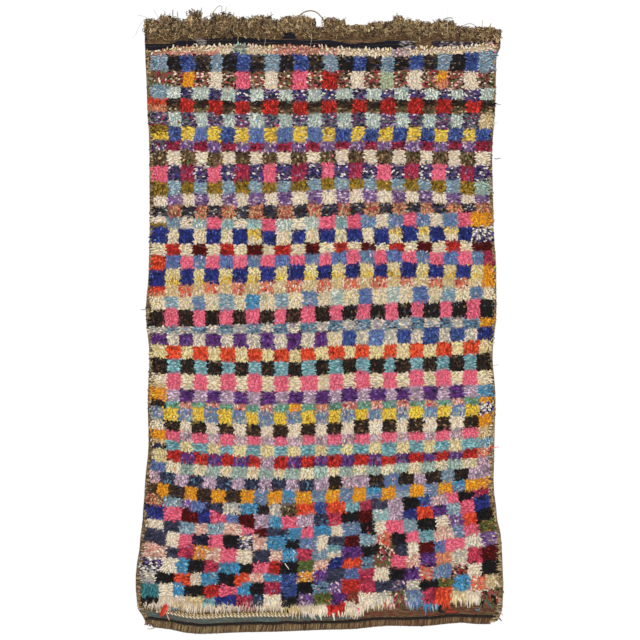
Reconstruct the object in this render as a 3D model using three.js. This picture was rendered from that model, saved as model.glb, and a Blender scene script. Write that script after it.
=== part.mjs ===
/**
 * A hand-knotted wool rug with a checked pile, lying flat on the floor.
 *
 * X runs across the rug, Y along it with the frayed end towards +Y, and Z up from the floor.
 * All sizes are in millimetres. The origin is on the floor, at the middle of the rug.
 *
 * Two pieces: the rug itself, whose woven ground and knotted pile are one cloth, and the comb of
 * loose warp ends that lies along its frayed end.
 */
import * as THREE from 'three';

// Heights above the floor.
const WEAVE_THICKNESS = 4;
const PILE_HEIGHT = 17;
const FRINGE_THICKNESS = 4;

// Flat-woven margins around the pile, and the width of the slope that rises from them.
const SELVEDGE_WIDTH = 12;
const CLOSED_SKIRT = 50;
const FRAYED_SKIRT = 60;
const PILE_SLOPE = 12;

// The slack of hand weaving: long low swells in the pile, and one soft crease down its middle.
const SWELL = { height: 0.8, across: 410, along: 330 };
const CREASE = { x: 12, halfWidth: 18, depth: 3 };

// How finely the rug's top is divided.
const COLUMNS_PER_HALF = 10;
const FIELD_ROWS = 40;

// The two selvedges, from the closed end to the frayed end.
const SIDES = [
  { y: -1086, left: -598, right: 624 },
  { y: -1062, left: -622, right: 638 },
  { y: -1036, left: -639, right: 643 },
  { y: -1000, left: -646, right: 646 },
  { y: -919, left: -646, right: 643 },
  { y: -814, left: -632, right: 639 },
  { y: -709, left: -621, right: 621 },
  { y: -604, left: -614, right: 611 },
  { y: -446, left: -601, right: 614 },
  { y: -289, left: -604, right: 618 },
  { y: -131, left: -598, right: 607 },
  { y: 26, left: -611, right: 621 },
  { y: 184, left: -600, right: 620 },
  { y: 341, left: -597, right: 611 },
  { y: 604, left: -598, right: 606 },
  { y: 814, left: -607, right: 618 },
  { y: 960, left: -613, right: 620 },
  { y: 1000, left: -615, right: 636 },
  { y: 1030, left: -613, right: 634 },
];

// The closed end, whose warps are turned back and bound, from left to right.
const CLOSED_END = [
  { x: -646, y: -1052 },
  { x: -541, y: -1072 },
  { x: -436, y: -1090 },
  { x: -226, y: -1083 },
  { x: 89, y: -1074 },
  { x: 247, y: -1061 },
  { x: 352, y: -1063 },
  { x: 500, y: -1050 },
  { x: 562, y: -1056 },
  { x: 646, y: -1042 },
];

// The last shot of weft at the frayed end, from left to right.
const FRAYED_END = [
  { x: -646, y: 1024 },
  { x: -208, y: 1027 },
  { x: 124, y: 1035 },
  { x: 282, y: 1031 },
  { x: 457, y: 1023 },
  { x: 562, y: 1016 },
  { x: 646, y: 1008 },
];

// Clumps of loose warp ends: where each starts and stops, and how far its ends reach past the weft.
const CLUMPS = [
  { from: -612, to: -560, reachFrom: 42, reachTo: 40 },
  { from: -560, to: -500, reachFrom: 57, reachTo: 50 },
  { from: -500, to: -460, reachFrom: 40, reachTo: 40 },
  { from: -460, to: -415, reachFrom: 69, reachTo: 74 },
  { from: -415, to: -375, reachFrom: 38, reachTo: 44 },
  { from: -375, to: -300, reachFrom: 62, reachTo: 57 },
  { from: -300, to: -240, reachFrom: 45, reachTo: 47 },
  { from: -240, to: -165, reachFrom: 50, reachTo: 50 },
  { from: -165, to: -130, reachFrom: 38, reachTo: 38 },
  { from: -130, to: -22, reachFrom: 48, reachTo: 44 },
  { from: 22, to: 88, reachFrom: 40, reachTo: 28 },
  { from: 172, to: 262, reachFrom: 16, reachTo: 31 },
  { from: 262, to: 292, reachFrom: 52, reachTo: 44 },
  { from: 292, to: 400, reachFrom: 36, reachTo: 27 },
  { from: 400, to: 470, reachFrom: 37, reachTo: 40 },
  { from: 470, to: 545, reachFrom: 24, reachTo: 11 },
  { from: 545, to: 610, reachFrom: 24, reachTo: 20 },
  { from: 610, to: 634, reachFrom: 10, reachTo: 8 },
];

// The comb: a narrow spine against the last weft, and one tooth for each bunch of warp ends.
const SEAT_GAP = 0.3;
const SPINE_DEPTH = 5;
const TOOTH_PITCH = 19;
const TOOTH_TAPER = 0.3;
const TOOTH_LEAN = 4;
const RAGGEDNESS = 0.12;

/** The value of one column of a table at a place along another, eased between its rows. */
function tableValue(table, key, place, column) {
  const last = table.length - 1;
  if (place <= table[0][key]) return table[0][column];
  if (place >= table[last][key]) return table[last][column];
  const next = table.findIndex((row) => row[key] > place);
  const before = table[next - 1];
  const after = table[next];
  const share = THREE.MathUtils.smoothstep(place, before[key], after[key]);
  return THREE.MathUtils.lerp(before[column], after[column], share);
}

const closedEnd = (x) => tableValue(CLOSED_END, 'x', x, 'y');
const frayedEnd = (x) => tableValue(FRAYED_END, 'x', x, 'y');

/** Evenly spaced numbers strictly between two ends. */
function between(start, end, count) {
  return Array.from({ length: count }, (_, i) => start + ((end - start) * (i + 1)) / (count + 1));
}

/** The places across the rug at one level: an x for each column, and how much of the pile stands there. */
function columnsAt(left, right) {
  const shoulder = SELVEDGE_WIDTH + PILE_SLOPE;
  const creaseLeft = CREASE.x - CREASE.halfWidth;
  const creaseRight = CREASE.x + CREASE.halfWidth;
  const field = [
    left + shoulder,
    ...between(left + shoulder, creaseLeft, COLUMNS_PER_HALF),
    creaseLeft,
    CREASE.x,
    creaseRight,
    ...between(creaseRight, right - shoulder, COLUMNS_PER_HALF),
    right - shoulder,
  ].map((x) => ({ x, pile: 1 }));
  const margin = [left, left + SELVEDGE_WIDTH, right - SELVEDGE_WIDTH, right].map((x) => ({ x, pile: 0 }));
  return [...margin.slice(0, 2), ...field, ...margin.slice(2)];
}

/** The places along the rug, as shares of its length, and how much of the pile stands there. */
function rowsAlong(length) {
  const margin = [0, 14, 30, CLOSED_SKIRT].map((offset) => ({ offset, pile: 0 }));
  const start = CLOSED_SKIRT + PILE_SLOPE;
  const end = length - FRAYED_SKIRT - PILE_SLOPE;
  const field = [start, ...between(start, end, FIELD_ROWS), end].map((offset) => ({ offset, pile: 1 }));
  const far = [FRAYED_SKIRT, FRAYED_SKIRT / 2, 0].map((inset) => ({ offset: length - inset, pile: 0 }));
  return [...margin, ...field, ...far].map(({ offset, pile }) => ({ share: offset / length, pile }));
}

/** How far the pile's top lies above or below its plain height. */
function pileRelief(x, y, share) {
  const swell = Math.sin(x / SWELL.across + 1) * Math.cos(y / SWELL.along) * SWELL.height;
  const inCrease = Math.max(0, 1 - Math.abs(x - CREASE.x) / CREASE.halfWidth);
  return swell - CREASE.depth * inCrease * Math.sin(Math.PI * share);
}

/** The rug's top as rows of points, from the closed end to the frayed end. */
function topPoints() {
  const start = SIDES[0].y;
  const length = SIDES[SIDES.length - 1].y - start;
  return rowsAlong(length).map(({ share, pile: pileAlong }) => {
    const level = start + share * length;
    const left = tableValue(SIDES, 'y', level, 'left');
    const right = tableValue(SIDES, 'y', level, 'right');
    return columnsAt(left, right).map(({ x, pile }) => {
      const y = THREE.MathUtils.lerp(closedEnd(x), frayedEnd(x), share);
      const standing = pile * pileAlong;
      const pileTop = PILE_HEIGHT - WEAVE_THICKNESS + pileRelief(x, y, share);
      return new THREE.Vector3(x, y, WEAVE_THICKNESS + standing * pileTop);
    });
  });
}

/** The outer edge of a grid of rows, as indices that run once round it, anticlockwise from above. */
function gridEdge(rows, columns) {
  const at = (row, column) => row * columns + column;
  const edge = [];
  for (let column = 0; column < columns - 1; column++) edge.push(at(0, column));
  for (let row = 0; row < rows - 1; row++) edge.push(at(row, columns - 1));
  for (let column = columns - 1; column > 0; column--) edge.push(at(rows - 1, column));
  for (let row = rows - 1; row > 0; row--) edge.push(at(row, 0));
  return edge;
}

/** A closed solid with the given top, straight sides and a flat underside on the floor. */
function solidUnder(grid) {
  const columns = grid[0].length;
  const top = grid.flat();
  const edge = gridEdge(grid.length, columns);
  const foot = edge.map((index) => new THREE.Vector3(top[index].x, top[index].y, 0));
  const faces = [];
  for (let row = 0; row < grid.length - 1; row++) {
    for (let column = 0; column < columns - 1; column++) {
      const a = row * columns + column;
      const b = a + columns;
      faces.push([a, a + 1, b + 1], [a, b + 1, b]);
    }
  }
  edge.forEach((index, i) => {
    const j = (i + 1) % edge.length;
    faces.push([top.length + i, top.length + j, edge[j]], [top.length + i, edge[j], index]);
  });
  const underside = THREE.ShapeUtils.triangulateShape(foot.map(({ x, y }) => new THREE.Vector2(x, y)), []);
  for (const [a, b, c] of underside) faces.push([top.length + a, top.length + c, top.length + b]);
  const geometry = new THREE.BufferGeometry().setFromPoints([...top, ...foot]);
  geometry.setIndex(faces.flat());
  geometry.computeVertexNormals();
  return geometry;
}

/** The teeth of one clump, each as its root, its two slanting sides and its blunt end. */
function clumpTeeth({ from, to, reachFrom, reachTo }, clumpIndex) {
  const count = Math.max(1, Math.round((to - from) / TOOTH_PITCH));
  const pitch = (to - from) / count;
  return Array.from({ length: count }, (_, i) => {
    const share = (i + 0.5) / count;
    const ragged = 1 - RAGGEDNESS * (0.5 + 0.5 * Math.sin(5 * i + 3 * clumpIndex));
    const reach = THREE.MathUtils.lerp(reachFrom, reachTo, share) * ragged;
    const lean = TOOTH_LEAN * Math.sin(2 * i + clumpIndex);
    const root = from + i * pitch;
    const taper = pitch * TOOTH_TAPER;
    return [
      [root + 1, SPINE_DEPTH],
      [root + taper + lean, reach * 0.9],
      [root + pitch / 2 + lean, reach],
      [root + pitch - taper + lean, reach * 0.88],
      [root + pitch - 1, SPINE_DEPTH],
    ];
  }).flat();
}

/** The comb of warp ends, laid flat past the last shot of weft, whose points run from left to right. */
function combGeometry(lastWeft) {
  const teeth = CLUMPS.flatMap(clumpTeeth).map(([x, past]) => new THREE.Vector2(x, frayedEnd(x) + past));
  const seat = lastWeft.map(({ x, y }) => new THREE.Vector2(x, y + SEAT_GAP)).reverse();
  const shape = new THREE.Shape([...teeth, ...seat]);
  return new THREE.ExtrudeGeometry(shape, { depth: FRINGE_THICKNESS, bevelEnabled: false });
}

/** A named mesh in its own wool. */
function piece(name, geometry, color) {
  const wool = new THREE.MeshStandardMaterial({ color, roughness: 0.95, metalness: 0 });
  const mesh = new THREE.Mesh(geometry, wool);
  mesh.name = name;
  return mesh;
}

const top = topPoints();
const rug = new THREE.Group();
rug.add(piece('rug', solidUnder(top), 0x8a7c86));
rug.add(piece('warp_fringe', combGeometry(top[top.length - 1]), 0x7a6444));

export default rug;
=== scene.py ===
"""A checked wool pile rug: woven ground, knotted pile, wrapped selvedges and a frayed warp fringe."""

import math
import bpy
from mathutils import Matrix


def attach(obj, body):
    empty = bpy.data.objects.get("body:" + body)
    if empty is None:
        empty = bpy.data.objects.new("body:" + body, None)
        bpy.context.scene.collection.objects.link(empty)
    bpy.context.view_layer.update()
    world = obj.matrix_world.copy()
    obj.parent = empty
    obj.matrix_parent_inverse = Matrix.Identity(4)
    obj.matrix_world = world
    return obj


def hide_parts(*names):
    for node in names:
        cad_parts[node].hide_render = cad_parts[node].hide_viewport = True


bl_info = {
    "name": "Checked pile rug",
    "version": (1, 0, 0),
    "blender": (4, 5, 0),
    "location": "View3D > Sidebar > Rug",
    "description": "Weaves, knots and lays out a checked wool rug around its packed frame",
    "category": "Add Mesh",
}

from collections import namedtuple

import bmesh
import bpy
import numpy as np
from mathutils import Vector

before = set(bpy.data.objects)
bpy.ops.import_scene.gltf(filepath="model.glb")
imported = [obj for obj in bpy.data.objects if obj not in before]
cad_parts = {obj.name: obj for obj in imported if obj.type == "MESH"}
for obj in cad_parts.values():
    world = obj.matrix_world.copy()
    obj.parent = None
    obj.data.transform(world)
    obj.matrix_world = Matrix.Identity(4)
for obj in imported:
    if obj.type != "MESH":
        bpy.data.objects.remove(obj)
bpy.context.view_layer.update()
MM = 0.001

# --- Settings ---

# Every yarn's colour, in plain daylight.
DYES = {
    "cream": "#F6E1C6",
    "white": "#F0E5D9",
    "beige": "#E2C992",
    "tan": "#CBAB7E",
    "grey": "#B7B3AA",
    "pale_yellow": "#EFD99C",
    "pale_green": "#B9C2A0",
    "yellow": "#F9CD48",
    "gold": "#B48522",
    "olive": "#967A2E",
    "dark_olive": "#52411B",
    "orange": "#F2A026",
    "salmon": "#DD8D6A",
    "vermilion": "#F45632",
    "red": "#C6332A",
    "dark_red": "#8D201E",
    "maroon": "#4F0909",
    "burgundy": "#A12646",
    "rose": "#BA3C53",
    "brick": "#953F2F",
    "hot_pink": "#FB768C",
    "pink": "#FB6F89",
    "pale_pink": "#EFBAAB",
    "peach_pink": "#D08679",
    "lilac": "#C7ABBC",
    "mauve": "#8C6D90",
    "violet": "#633076",
    "purple": "#6C4F92",
    "ultramarine": "#2C347F",
    "navy": "#21223E",
    "royal": "#455B95",
    "slate": "#414257",
    "cornflower": "#6E7DB6",
    "steel": "#638FA6",
    "bright_blue": "#4695C4",
    "light_blue": "#96A3AF",
    "sky": "#96B3BF",
    "aqua": "#D1D7C9",
    "turquoise": "#89BCBD",
    "teal": "#41838A",
    "green": "#66A178",
    "moss": "#5C6C38",
    "sage": "#ACBFB3",
    "khaki": "#7F6548",
    "brown": "#503929",
    "dark_brown": "#2C221C",
    "black": "#191614",
    "straw": "#99865F",
    "teal_grey": "#697B78",
}
YARNS = tuple(DYES)
YARN_INDEX = {name: i for i, name in enumerate(YARNS)}


def linear(shade):
    """An sRGB hex colour as linear red, green and blue."""
    parts = [int(shade[i : i + 2], 16) / 255 for i in (1, 3, 5)]
    return tuple(p / 12.92 if p <= 0.04045 else ((p + 0.055) / 1.055) ** 2.4 for p in parts)


def size(name, description, default):
    """A length that a user may change, in metres."""
    return bpy.props.FloatProperty(
        name=name, description=description, default=default, min=0, soft_max=1, subtype="DISTANCE"
    )


def wool_colour(name, shade):
    """A yarn colour that a user may change."""
    plain = name.replace("_", " ")
    return bpy.props.FloatVectorProperty(
        name=plain.capitalize(),
        description=f"Colour of the {plain} wool",
        default=linear(shade),
        min=0,
        max=1,
        subtype="COLOR",
    )


class RugSizes(bpy.types.PropertyGroup):
    """Sizes of the rug's knots and yarns."""

    seed: bpy.props.IntProperty(name="Seed", description="Which hand-made unevenness is drawn", default=7)
    knot_pitch: size("Knot pitch", "Distance between yarn ends across the rug", 5.65 * MM)
    row_pitch: size("Row pitch", "Distance between rows of yarn ends along the rug", 8.2 * MM)
    yarn_radius: size("Yarn radius", "Half the thickness of a pile yarn", 3.0 * MM)
    reach: size("Reach", "How far a cut yarn end leans over", 9.6 * MM)
    rise: size("Rise", "How far a cut yarn end stands up", 5.8 * MM)
    foot_reach: size("Foot reach", "Length of the long ends over the closed end", 26 * MM)
    weft_pitch: size("Weft pitch", "Distance between shots of weft in the flat weave", 3.5 * MM)
    wrap_pitch: size("Wrap pitch", "Distance between turns of yarn round a selvedge", 4.2 * MM)
    fringe_yarns: bpy.props.IntProperty(name="Fringe yarns", description="Loose warp ends", default=2400)


class RugDyes(bpy.types.PropertyGroup):
    """The colour of each yarn."""

    __annotations__ = {name: wool_colour(name, shade) for name, shade in DYES.items()}


def sizes():
    """The rug's sizes."""
    return bpy.context.scene.rug_sizes


def dye_colours():
    """Every yarn's linear colour, in the order of YARNS."""
    dyes = bpy.context.scene.rug_dyes
    return np.array([tuple(getattr(dyes, name)) for name in YARNS])


def dye(name):
    """One yarn's linear colour."""
    return dye_colours()[YARN_INDEX[name]]


def numbers(names):
    """The numbers, in YARNS, of the yarns named in a line of words."""
    return np.array([YARN_INDEX[name] for name in names.split()])


def picked(draw, shares):
    """Which kind each number from 0 to 1 falls to, when each kind takes its share."""
    return (draw[:, None] > np.cumsum(shares, -1)[..., :-1]).sum(1)


def evenly_dyed(yarns, points):
    """Each yarn's own colour at all of its points: (yarns, points, 3)."""
    return np.repeat(dye_colours()[yarns][:, None], points, axis=1)


# Each piece of pile is one family of dyes, as the dyer's baskets would hold them.
FAMILIES = {
    "undyed": "cream white beige tan grey straw",
    "yellow": "pale_yellow yellow gold olive dark_olive orange salmon",
    "red": "vermilion red dark_red maroon brick burgundy rose",
    "pink": "hot_pink pink pale_pink peach_pink",
    "purple": "lilac mauve violet purple",
    "deep_blue": "ultramarine navy royal slate",
    "mid_blue": "cornflower steel bright_blue",
    "pale_blue": "light_blue sky aqua sage",
    "green": "turquoise teal green moss pale_green teal_grey",
    "dark": "khaki brown dark_brown black",
}

# Blocks are seldom one yarn. Each line gives a block's yarns, each with its share.
MIXES = {
    "cream": "cream 14 white 3 beige 1",
    "ivory": "cream 10 pale_yellow 3 beige 1 pale_green 1",
    "beige": "beige 7 tan 2 cream 3",
    "aqua": "aqua 12 sage 2 sky 1",
    "light_blue": "light_blue 8 sky 2 steel 2",
    "sky": "sky 5 light_blue 3 aqua 1 steel 1",
    "turquoise": "turquoise 6 sky 3 steel 1 teal 1",
    "sea": "sage 5 turquoise 3 sky 2 white 1",
    "bright_blue": "bright_blue 8 teal 1 steel 2 sky 2",
    "royal": "royal 8 ultramarine 2 cornflower 1",
    "ultramarine": "ultramarine 9 royal 1 navy 1",
    "cornflower": "cornflower 8 royal 1 steel 2",
    "steel": "steel 4 cornflower 4 light_blue 3 lilac 1",
    "black": "black 5 dark_brown 6 brown 4",
    "coal": "black 10 slate 2 khaki 1 dark_brown 2",
    "peat": "black 5 dark_brown 5 brown 4 khaki 2",
    "jet": "black 12 navy 1 dark_brown 1",
    "brown": "brown 8 dark_brown 2 black 1 slate 1",
    "dark_fleck": "black 5 brown 3 dark_olive 3 slate 2 khaki 2",
    "red": "red 11 dark_red 3",
    "vermilion": "vermilion 10 red 2",
    "maroon": "maroon 8 dark_red 1",
    "orange": "orange 14 yellow 1 salmon 1",
    "pink": "pink 8 hot_pink 2 rose 1",
    "hot_pink": "hot_pink 9 pink 2",
    "pale_pink": "pale_pink 8 salmon 1 cream 2",
    "yellow": "yellow 16 gold 1 pale_yellow 1",
    "butter": "yellow 5 pale_yellow 5 gold 1",
    "mustard": "yellow 12 olive 2 pale_yellow 3",
    "pale_yellow": "pale_yellow 11 cream 3",
    "violet": "violet 9 purple 3 navy 1",
    "green": "green 5 turquoise 2 sage 2 moss 1",
    "tweed": "brick 3 cream 2 tan 1 moss 3 black 5 rose 2 pale_pink 1 dark_red 1",
    "green_tweed": "moss 4 brick 3 cream 1 grey 1 burgundy 2",
    "navy_fleck": "navy 6 ultramarine 3 white 2 mauve 1 violet 2",
    "plum_tweed": "violet 3 navy 3 lilac 3 burgundy 1 teal_grey 4 slate 1",
    "purple_fleck": "purple 4 lilac 4 violet 2 mauve 3",
    "white_navy": "white 4 navy 4 purple 2",
    "burgundy_fleck": "burgundy 6 rose 2 maroon 1 brown 1",
    "rose_fleck": "rose 5 burgundy 4 mauve 1",
    "olive_fleck": "olive 7 dark_olive 2 gold 3",
    "khaki_fleck": "khaki 6 brown 4 dark_brown 2 moss 1 tan 1",
    "black_fleck": "black 3 slate 4 navy 3 dark_brown 2 grey 1 khaki 1",
    "salmon_fleck": "salmon 5 brick 2 rose 1 khaki 2 tan 3",
    "red_cream": "salmon 5 vermilion 3 cream 2 rose 1 pale_pink 1",
    "grey_fleck": "cream 6 grey 6 mauve 1 sky 1",
    "pale_fleck": "cream 8 grey 4 white 1 pale_green 1",
    "peach": "salmon 4 pale_pink 4 rose 1",
    "steel_fleck": "steel 6 slate 2 light_blue 2 grey 1",
    "blue_fleck": "cornflower 3 steel 3 sage 3 lilac 2 grey 1",
    "lilac_fleck": "lilac 6 pale_pink 3 grey 2 mauve 1",
    "indigo_fleck": "violet 4 purple 4 ultramarine 1 burgundy 1 mauve 2",
    "slate_fleck": "slate 7 navy 3 steel 1",
    "orange_fleck": "orange 6 salmon 2 cream 2 brick 1",
    "moss_fleck": "moss 6 olive 2 dark_olive 2 salmon 1",
    "edge_tan": "cream 8 beige 5 tan 2 peach_pink 2",
    "edge_sage": "sage 4 pale_green 3 grey 4 teal_grey 1",
    "edge_lilac": "grey 4 lilac 3 pale_pink 3 mauve 1",
    "edge_cream": "cream 10 beige 3 pale_pink 1",
    "edge_salmon": "peach_pink 9 pale_pink 4 tan 3 beige 1 salmon 1",
}

# The chart. Each course is one row of blocks from the frayed end down: its height in millimetres
# near the left selvedge, at the middle and near the right one, how many blocks it has, its blocks
# from left to right as one repeat, the blocks that start and finish it where they differ, and how
# much wider than the others its first block is, in blocks.
# "a/b" is a block with its upper half in a and its lower half in b.
Course = namedtuple("Course", "left middle right blocks repeat first last wider", defaults=("", "", 0.14))

CHART = (
    Course(
        21, 21, 15, 24,
        "edge_tan/edge_salmon " * 5 + "edge_cream edge_sage edge_cream edge_tan/edge_salmon "
        + "edge_salmon " * 3 + "edge_tan/edge_salmon " + "edge_cream " * 4 + "edge_lilac "
        + "edge_cream " * 6,
    ),
    Course(66, 63, 65, 24, "light_blue coal royal dark_fleck/coal", "", "light_blue"),
    Course(
        49, 63, 61, 24,
        "green_tweed tweed orange tweed cream tweed pink tweed cream tweed pink tweed "
        "red tweed cream tweed pale_green tweed cream tweed orange/salmon tweed cream tweed",
    ),
    Course(46, 40, 39, 24, "navy_fleck aqua", "sky"),
    Course(47, 47, 49, 24, "red black/khaki_fleck", "vermilion/salmon", "", 0.24),
    Course(47, 47, 49, 24, "plum_tweed aqua", "", "beige", 0.22),
    Course(
        53, 49, 44, 24,
        "mustard royal mustard cornflower " * 2 + "mustard cornflower " * 2 + "mustard royal " * 6,
        "olive_fleck/yellow",
    ),
    Course(32, 30, 37, 24, "purple_fleck burgundy_fleck", "plum_tweed"),
    Course(53, 46, 47, 24, "khaki_fleck cream"),
    Course(53, 56, 51, 24, "hot_pink navy_fleck rose_fleck navy_fleck"),
    Course(46, 39, 46, 24, "olive_fleck sky", "", "sage"),
    Course(42, 47, 35, 24, "cream purple_fleck"),
    Course(40, 42, 35, 24, "black_fleck salmon_fleck"),
    Course(
        39, 44, 47, 24.4,
        "cream light_blue cream sea pink sea cream sea pink aqua cream aqua "
        "pink sea pink steel cream steel pink steel cream steel pink",
        "cream/olive", "orange",
    ),
    Course(
        54, 49, 51, 24.4,
        "ultramarine ivory " * 3 + "ultramarine butter/ivory " + "ultramarine ivory " * 4
        + "ultramarine butter/ivory " * 4,
        "", "white_navy",
    ),
    Course(39, 35, 35, 24.4, "ivory red ivory maroon", "", "maroon"),
    Course(49, 40, 46, 24.6, "hot_pink cornflower hot_pink steel", "vermilion", "rose_fleck"),
    Course(53, 53, 46, 24.7, "ultramarine pale_yellow/butter", "", "orange"),
    Course(39, 39, 35, 24.8, "red_cream beige", "vermilion/salmon", "orange"),
    Course(
        49, 56, 49, 24.8,
        "ivory sky ivory steel ivory sky ivory bright_blue ivory sky ivory steel ivory aqua "
        "ivory cornflower ivory aqua ivory cornflower",
    ),
    Course(56, 51, 58, 25, "black hot_pink " * 7 + "coal hot_pink " * 6),
    Course(30, 40, 37, 25, "grey_fleck steel_fleck", "", "orange"),
    Course(44, 49, 47, 25, "violet pale_fleck " * 6 + "violet ivory "
        + "royal pale_fleck cornflower pale_fleck " + "royal pale_fleck " * 4, "", "ultramarine"),
    Course(42, 49, 47, 25, "pale_yellow vermilion"),
    Course(53, 47, 53, 25, "black turquoise"),
    Course(53, 56, 53, 25, "ivory hot_pink", "cream/beige"),
    Course(46, 46, 47, 25, "violet lilac", "orange", "bright_blue"),
    Course(
        21, 25, 21, 25,
        "peach green " * 5 + "orange green " + "peach green " * 7, "black", "orange",
    ),
    Course(44, 44, 37, 25, "blue_fleck yellow", "", "white_navy", 0.0),
    Course(37, 44, 46, 25, "cream peat", "", "orange", 0.0),
    Course(37, 33, 37, 25, "lilac_fleck hot_pink", "orange", "beige", 0.0),
    Course(35, 37, 37, 25, "pale_yellow turquoise", "beige/navy", "sky", 0.0),
    Course(
        40, 40, 33, 25,
        "indigo_fleck red " * 4 + "lilac red " + "indigo_fleck red " * 8, "pale_yellow", "red_cream",
    ),
    Course(37, 37, 35, 25, "sage ivory", "cornflower", "lilac_fleck"),
    Course(
        44, 42, 40, 24.4,
        "lilac slate_fleck " * 6 + "lilac dark_brown lilac_fleck lilac black steel black lilac black "
        + "light_blue black",
        "lilac_fleck", "lilac", -0.2,
    ),
    Course(
        42, 46, 42, 24.6,
        "brown orange " * 4 + "steel orange bright_blue/steel orange steel/light_blue orange " * 3,
        "", "orange", -0.5,
    ),
    Course(
        35, 42, 35, 23,
        "salmon_fleck sky purple_fleck cornflower slate grey_fleck bright_blue dark_brown "
        "grey_fleck khaki_fleck vermilion royal vermilion turquoise rose slate lilac jet royal "
        "lilac_fleck hot_pink jet rose_fleck",
    ),
    Course(
        46, 38, 39, 23,
        "ultramarine pink maroon ultramarine pink cornflower maroon lilac bright_blue pink lilac "
        "slate_fleck rose jet maroon sea lilac ultramarine vermilion violet sky pink ultramarine",
    ),
    Course(
        42, 38, 42, 23,
        "cream slate sky pale_pink sky pale_pink hot_pink maroon slate bright_blue pink "
        "bright_blue cream steel jet cream pink sky jet cream purple_fleck vermilion jet",
    ),
    Course(
        40, 38, 43, 23,
        "slate cream pink navy pink jet white_navy pale_pink bright_blue jet steel cream slate "
        "maroon sky red_cream jet hot_pink turquoise pale_pink steel pink moss_fleck",
    ),
    Course(
        49, 40, 44, 23,
        "pale_pink slate rose_fleck orange_fleck pale_pink pink cream slate pale_pink bright_blue "
        "rose light_blue turquoise/cream violet jet tweed slate cream maroon cornflower hot_pink "
        "pale_fleck purple_fleck",
    ),
    Course(
        48, 40, 44, 23,
        "white_navy cream bright_blue jet rose bright_blue jet pink red jet moss pale_pink "
        "ultramarine vermilion steel_fleck green_tweed pink pale_pink violet salmon pale_fleck "
        "rose maroon",
    ),
    Course(
        43, 42, 46, 23,
        "grey_fleck jet vermilion cream bright_blue jet vermilion pale_pink bright_blue royal "
        "orange_fleck indigo_fleck slate cornflower rose cream jet violet red_cream steel tweed "
        "cream jet",
    ),
    Course(
        38, 40, 48, 23,
        "teal cream bright_blue jet red pink bright_blue jet rose_fleck royal jet steel_fleck "
        "purple_fleck red rose slate plum_tweed pale_fleck jet moss_fleck bright_blue red_cream "
        "beige",
    ),
    Course(
        22, 33, 42, 23,
        "jet cream cream beige turquoise ultramarine rose_fleck slate_fleck cream jet "
        "purple_fleck moss_fleck violet brick cream pale_fleck green_tweed steel rose vermilion "
        "beige cream tweed",
    ),
    Course(
        60, 60, 60, 25,
        "cream cream beige cream cream ivory cream pale_pink cream cream beige cream cream red/cream "
        "cream cream cream pale_pink cream bright_blue bright_blue steel/beige cream beige cream",
    ),
)
STATIONS = (-453 * MM, 19 * MM, 457 * MM)  # where a course's three heights are measured, across the rug
SKIRT = (63 * MM, 70 * MM, 66 * MM)  # from the frayed edge to where the courses are measured from
FOOT_ROW = 26 * MM  # above the last row of knots, in which all the ends are long
PATCHWORK = 36  # from this course on the blocks are uneven, their columns and courses much looser
LOOSER_COLUMNS, LOOSER_COURSES = 3.6, 2.2
COLUMN_DRIFT, COLUMN_JITTER = 0.03, 0.035  # in blocks
COURSE_SLIP = 1.6 * MM
HALF_LINE = 0.55  # where a block changes from its upper yarn to its lower one
LUMINANCE = (0.21, 0.72, 0.07)  # how bright red, green and blue look
DARK_OVERLAP = 0.07  # in blocks, between a black block and a white one

# How much of each edge the selvedge yarn covers: level, left width and right width.
SELVEDGES = np.array([
    (-1060, 15, 17),
    (-900, 17, 20),
    (-800, 20, 17),
    (-700, 20, 14),
    (-620, 11, 17),
    (-540, 16, 20),
    (-480, 17, 19),
    (-380, 14, 15),
    (-300, 7, 11),
    (-230, 15, 14),
    (-150, 12, 9),
    (-60, 8, 9),
    (60, 18, 10),
    (110, 8, 9),
    (210, 8, 8),
    (310, 7, 8),
    (420, 13, 13),
    (500, 8, 18),
    (560, 10, 12),
    (620, 9, 12),
    (690, 13, 6),
    (754, 6, 5),
    (800, 14, 6),
    (850, 22, 18),
    (919, 24, 6),
    (930, 23, 7),
    (948, 9, 9),
    (1000, 9, 12),
]) * MM

# The dark stripe in the frayed end's flat weave: place across, and its start and end, measured
# from the woven edge. It is the width of a few shots, and missing for a hand's breadth.
STRIPE = np.array([
    (-600, 50, 76),
    (-520, 48, 72),
    (-500, 40, 64),
    (-418, 32, 60),
    (-278, 28, 60),
    (-200, 34, 64),
    (-133, 40, 64),
    (-128, 16, 64),
    (-84, 16, 64),
    (-78, 40, 68),
    (19, 44, 72),
    (107, 59, 82),
    (180, 56, 84),
    (230, 46, 84),
    (262, 48, 80),
    (330, 46, 64),
    (340, 60, 50),
    (385, 60, 50),
    (400, 38, 62),
    (520, 38, 56),
    (600, 30, 40),
]) * MM

# The row of knots that edges the pile: place across, and its top and bottom below the woven edge.
EDGE_ROW = np.array([
    (-593, 78, 87),
    (-506, 68, 87),
    (-418, 64, 86),
    (-278, 57, 87),
    (-190, 65, 90),
    (-68, 68, 93),
    (19, 72, 94),
    (107, 81, 106),
    (194, 82, 104),
    (264, 81, 102),
    (317, 72, 95),
    (422, 66, 83),
    (492, 59, 83),
    (597, 44, 63),
]) * MM

# Where the long yarn ends over the closed end stop: place across, and height above that end.
FOOT_LINE = np.array([
    (-610, 62),
    (-560, 60),
    (-500, 66),
    (-418, 70),
    (-240, 70),
    (-120, 66),
    (-90, 48),
    (90, 40),
    (130, 34),
    (160, 58),
    (350, 62),
    (430, 50),
    (470, 64),
    (600, 62),
]) * MM

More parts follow.
